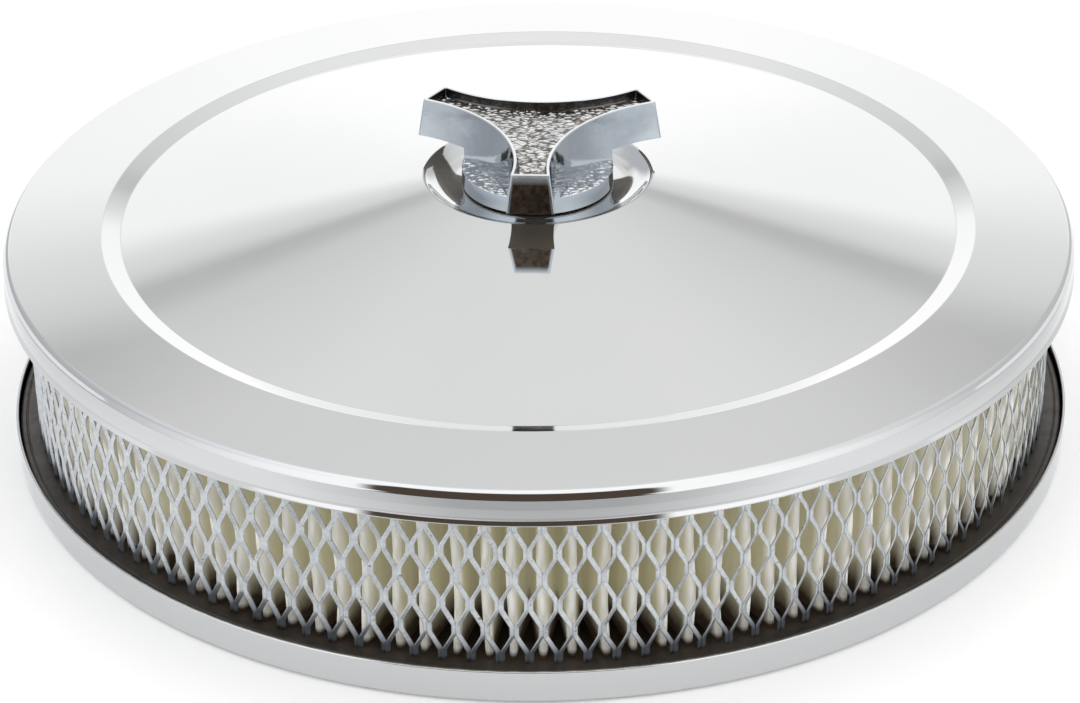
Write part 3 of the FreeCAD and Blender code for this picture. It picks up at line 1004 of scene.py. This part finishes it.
def wing_nut():
    """Casting with three arms on a round hub, drawn as patches that share their edges."""
    patches = Patches()
    top = NUT_HIGH.z
    profile = bent_section([
        (EDGE_WALL + SUNK_DRAFT, SUNK_FLOOR_Z, 0),
        (EDGE_WALL + 0.55 * SUNK_DRAFT, SUNK_FLOOR_Z + 0.35, 0.1),
        (EDGE_WALL, top, 0.22),
        (0.0, top, 0.22),
        (wall_inset(ARM_BASE_Z), ARM_BASE_Z, 0),
    ], closed=False, longest=2.5)
    rows = np.array([ArmOutline(inset).loop(z) for inset, z in profile])
    # Darkening: a dark finish on the recess walls and on the flat ends of the arms.
    in_recess = (profile[:, 0] > 0.5 * EDGE_WALL) & (profile[:, 1] < top - 0.30)
    on_side = (profile[:, 1] < top - 0.55) & (profile[:, 0] < 0.0)
    tarnish = np.where(on_side[:, None], end_face(rows), in_recess[:, None] * 0.85)
    patches.grid(rows, False, True, tarnish)
    sunk_floor(patches, ArmOutline(EDGE_WALL + SUNK_DRAFT).loop(SUNK_FLOOR_Z))

    levels = np.linspace(ARM_BASE_Z, LEDGE_Z, 5)
    outlines = [ArmOutline(wall_inset(z)) for z in levels]
    hub_row = []
    for arm in range(ARM_COUNT):
        # Painted shade under the arms.
        patches.grid(turned(outlines[0].underside(), arm, ARM_BASE_Z), tarnish=0.45)
        hollow = [turned(line.gap(), arm, z) for line, z in zip(outlines, levels)]
        patches.grid(np.array(hollow))
        under_arm = [turned(line.underside()[0], arm, z) for line, z in zip(outlines, levels)]
        patches.grid(np.array(under_arm))
        foot = turned(outlines[-1].gap(), arm, LEDGE_Z)
        starts = math.atan2(foot[0, 1], foot[0, 0])
        spread = (math.atan2(foot[-1, 1], foot[-1, 0]) - starts) % TURN
        rim = around(HUB_RADIUS, starts + spread * np.linspace(0.0, 1.0, GAP_STEPS + 1), LEDGE_Z)
        steps = np.linspace(0.0, 1.0, 20)[:, None, None]
        ledge = foot + (rim - foot) * steps
        strength = np.clip(np.minimum(steps, 1.0 - steps)[..., 0] * 12.0, 0.0, 1.0)
        width = np.linalg.norm(rim - foot, axis=-1)
        ledge, deep = pebbles(ledge, strength * np.clip(width / 1.5, 0.0, 1.0))
        # Painted shade in the ledge grain's hollows.
        patches.grid(ledge, tarnish=0.3 * deep)
        hub_row += [under_arm[-1][:-1], rim[:-1]]
    hub_row = np.concatenate(hub_row)
    hub = bent_section([
        (HUB_RADIUS, LEDGE_Z, 0),
        (HUB_RADIUS, NUT_LOW.z, 0.5),
        (HUB_HOLLOW_RADIUS, NUT_LOW.z, 0.4),
        (HUB_HOLLOW_RADIUS, HUB_HOLLOW_Z, 0.5),
        (BOSS_RADIUS, HUB_HOLLOW_Z, 0.4),
        (BOSS_RADIUS, BOSS_BASE_Z, 0.3),
        (INSERT_HIGH.x, BOSS_BASE_Z, 0.1),
        (INSERT_HIGH.x, INSERT_HOLE_TOP, 0.2),
        (0.0, INSERT_HOLE_TOP, 0),
    ], closed=False)
    angles = np.arctan2(hub_row[:, 1], hub_row[:, 0])
    patches.grid(around(hub[:, :1], angles, hub[:, 1:]), False, True)
    nut = linked("wing_nut_casting", patches.mesh("wing_nut_casting"), "wing_nut")
    return dress(nut, CAST_CHROME, "cast_chrome", "wing_nut_body")


# ---------------------------------------------------------------- floor, light and camera

def floor():
    """White floor with painted shade, softly greyer towards the camera and just beside the object,
    and a faint glow, painted light, that keeps it white.
    """
    n = Nodes("pale_floor")
    # The floor glows faintly: painted light.
    n.set(Roughness=0.9, Specular_IOR_Level=0.0, Emission_Strength=0.14)
    x, y, _ = n.parts(n.place)
    aside = n.calculate("ABSOLUTE", x)
    # Painted shade: grey patches beside the object, and greyer in front of it, towards the camera.
    along = n.times(n.span(y, 0.0, 1.0, -0.20, -0.04), n.span(y, 1.0, 0.0, 0.0, 0.13))
    beside = n.times(n.span(aside, 0.0, 1.0, 0.145, 0.21), n.span(aside, 1.0, 0.0, 0.22, 0.60))
    side = n.times(n.times(along, beside), n.span(x, 0.24, 0.36, -0.01, 0.01))
    front = n.times(n.span(y, 0.48, 0.0, -0.205, -0.158), n.span(aside, 1.0, 0.35, 0.04, 0.14))
    tone_with_painted_shade = n.ramp(n.calculate("ADD", front, side),
                  [(0.0, (0.93, 0.93, 0.93)), (0.9, (0.08, 0.08, 0.08))])
    n.colour(tone_with_painted_shade)
    n.glow(tone_with_painted_shade)
    rings = np.array([0.0, 0.3, 0.6, 1.2, 2.5, 5.0]) / MM
    steps = 96
    angles = np.arange(steps) * TURN / steps
    patches = Patches()
    patches.grid(around(rings[:, None], angles, PAN_LOW.z - 0.05), False, True)
    mesh = patches.mesh("pale_floor")
    mesh.transform(Matrix.Scale(MM, 4))
    made = bpy.data.objects.new("pale_floor", mesh)
    bpy.context.scene.collection.objects.link(made)
    made.data.materials.append(n.material)


def studio_light():
    """Soft light by direction: white above, dark behind the camera, greyer at the sides."""
    world = bpy.data.worlds.new("soft_studio")
    world.use_nodes = True
    bpy.context.scene.world = world
    n = Graph(world.node_tree)
    brightest = 1.7

    def share(tint, strength=1.0):
        return tuple(strength * channel / brightest for channel in tint)

    def smooth(value, low, high):
        return n.span(value, 0.0, 1.0, low, high, "SMOOTHSTEP")

    def by_elevation(tint, *stops):
        """Light by elevation: stops are (degrees, strength)."""
        places = [((degrees + 90.0) / 180.0, share(tint, strength)) for degrees, strength in stops]
        return n.ramp(elevation_share, places)

    def degrees(radians):
        return n.times(radians, 180.0 / math.pi)

    x, y, z = n.parts(n.add("ShaderNodeTexCoord").outputs["Generated"])
    elevation = degrees(n.calculate("ARCSINE", z))
    elevation_share = n.calculate("DIVIDE", n.calculate("ADD", elevation, 90.0), 180.0)
    bearing = degrees(n.calculate("ARCTAN2", x, y))
    from_back = n.calculate("ABSOLUTE", bearing)
    from_camera = degrees(n.calculate("ARCTAN2", x, n.times(y, -1.0)))

    behind = by_elevation(
        (1.01, 1.00, 0.99), (-5, 1.30), (3, 1.46), (25, 1.46), (29, 1.00), (33, 0.97),
        (40, 1.06), (54, 1.16), (62, 1.45), (70, 1.55))
    beside = by_elevation(
        (1.00, 1.00, 0.98), (-5, 1.30), (3, 1.40), (25, 1.40), (27.5, 1.12), (29.3, 1.02),
        (30.8, 0.73), (32.2, 0.77), (34, 0.93), (62, 1.45))
    left = by_elevation(
        (0.98, 1.00, 1.035), (-5, 0.66), (34, 0.70), (41, 0.76), (47, 0.98), (55, 1.12),
        (62, 1.42), (70, 1.55))
    right = by_elevation(
        (0.99, 1.00, 1.01), (-5, 0.76), (36, 0.78), (42, 0.94), (50, 1.02), (58, 1.16),
        (66, 1.42), (72, 1.55))
    back = n.mix(smooth(from_back, 5.0, 13.0), behind, beside)
    sides = n.mix(smooth(bearing, -12.0, 12.0), left, right)
    colour = n.mix(smooth(from_back, 72.0, 140.0), sides, share((1.50, 1.50, 1.49)))
    colour = n.mix(smooth(from_back, 29.0, 18.0), colour, back)
    across = smooth(n.calculate("ABSOLUTE", n.calculate("ADD", from_camera, 5.5)), 31.5, 26.5)
    upward = smooth(elevation, 52.0, 42.0)
    colour = n.mix(n.times(across, upward), colour, share((0.105, 0.080, 0.062)))
    background = n.tree.nodes["Background"]
    n.link(colour, background.inputs["Color"])
    background.inputs["Strength"].default_value = brightest
    bpy.context.scene.view_settings.view_transform = "Standard"


def camera():
    """Camera looking down at the housing from the front."""
    distance, elevation, roll = 0.7576, math.radians(29.694), math.radians(0.773)
    target = Vector((0.0, 0.0, 0.0132))
    back = Vector((0.0, -math.cos(elevation), math.sin(elevation)))
    data = bpy.data.cameras.new("camera")
    data.lens = 101.1
    data.sensor_width = 36.0
    data.clip_start = 0.01
    data.clip_end = 50.0
    made = bpy.data.objects.new("camera", data)
    made.matrix_world = (Matrix.Translation(target + back * distance)
                         @ (-back).to_track_quat("-Z", "Y").to_matrix().to_4x4()
                         @ Matrix.Rotation(-roll, 4, "Z"))
    bpy.context.scene.collection.objects.link(made)
    bpy.context.scene.camera = made


base_pan()
lid()
lower_seal()
upper_seal()
gasket()
washer()
screens()
paper()
seam_clip()
stud()
insert()
wing_nut()
floor()
studio_light()
camera()
